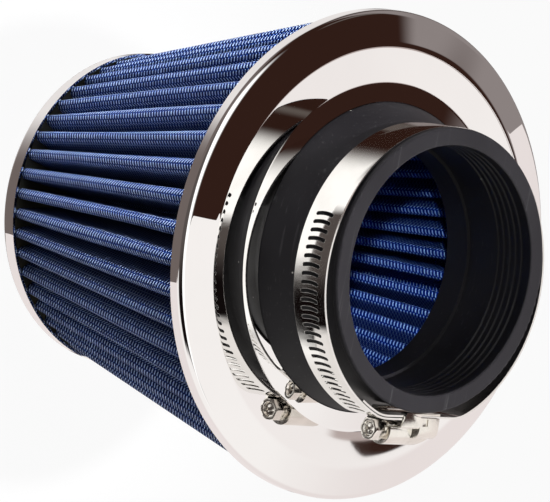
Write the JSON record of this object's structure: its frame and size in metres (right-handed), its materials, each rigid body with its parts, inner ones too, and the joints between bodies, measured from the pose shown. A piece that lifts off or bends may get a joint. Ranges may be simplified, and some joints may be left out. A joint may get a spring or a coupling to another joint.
{
  "type": "cone air filter",
  "caption": "Conical pleated air filter with a chrome flange and end cap, a rubber inlet neck and a worm-drive hose clamp, for the end of an engine's intake pipe.",
  "frame": {"origin": "centre of the end cap's outer face, on which the filter stands", "axes": "+Z along the filter's axis towards the inlet mouth, +X about 4 degrees short of the clamp's housing"},
  "size_m": [0.153, 0.153, 0.1523],
  "materials": {
    "blue_media": "woven screen, matt with a light sheen",
    "black_rubber": "moulded, satin",
    "chrome": "mirror plated",
    "potting_resin": "cast, matt",
    "stainless": "polished strip"
  },
  "bodies": {
    "filter": {"pleated_media": "blue_media", "neck_moulding": "black_rubber", "flange_cover": "chrome", "end_cap": "chrome", "cap_potting": "potting_resin", "clamp_band": "stainless", "clamp_housing": "stainless"},
    "screw": {"clamp_screw": "stainless"}
  },
  "joints": [
    {"name": "screw_turn", "type": "hinge", "parent": "filter", "child": "screw", "pos_m": [0.04985, 0.00375, 0.14375], "axis": [-0.075, 0.9972, 0], "continuous": true}
  ]
}
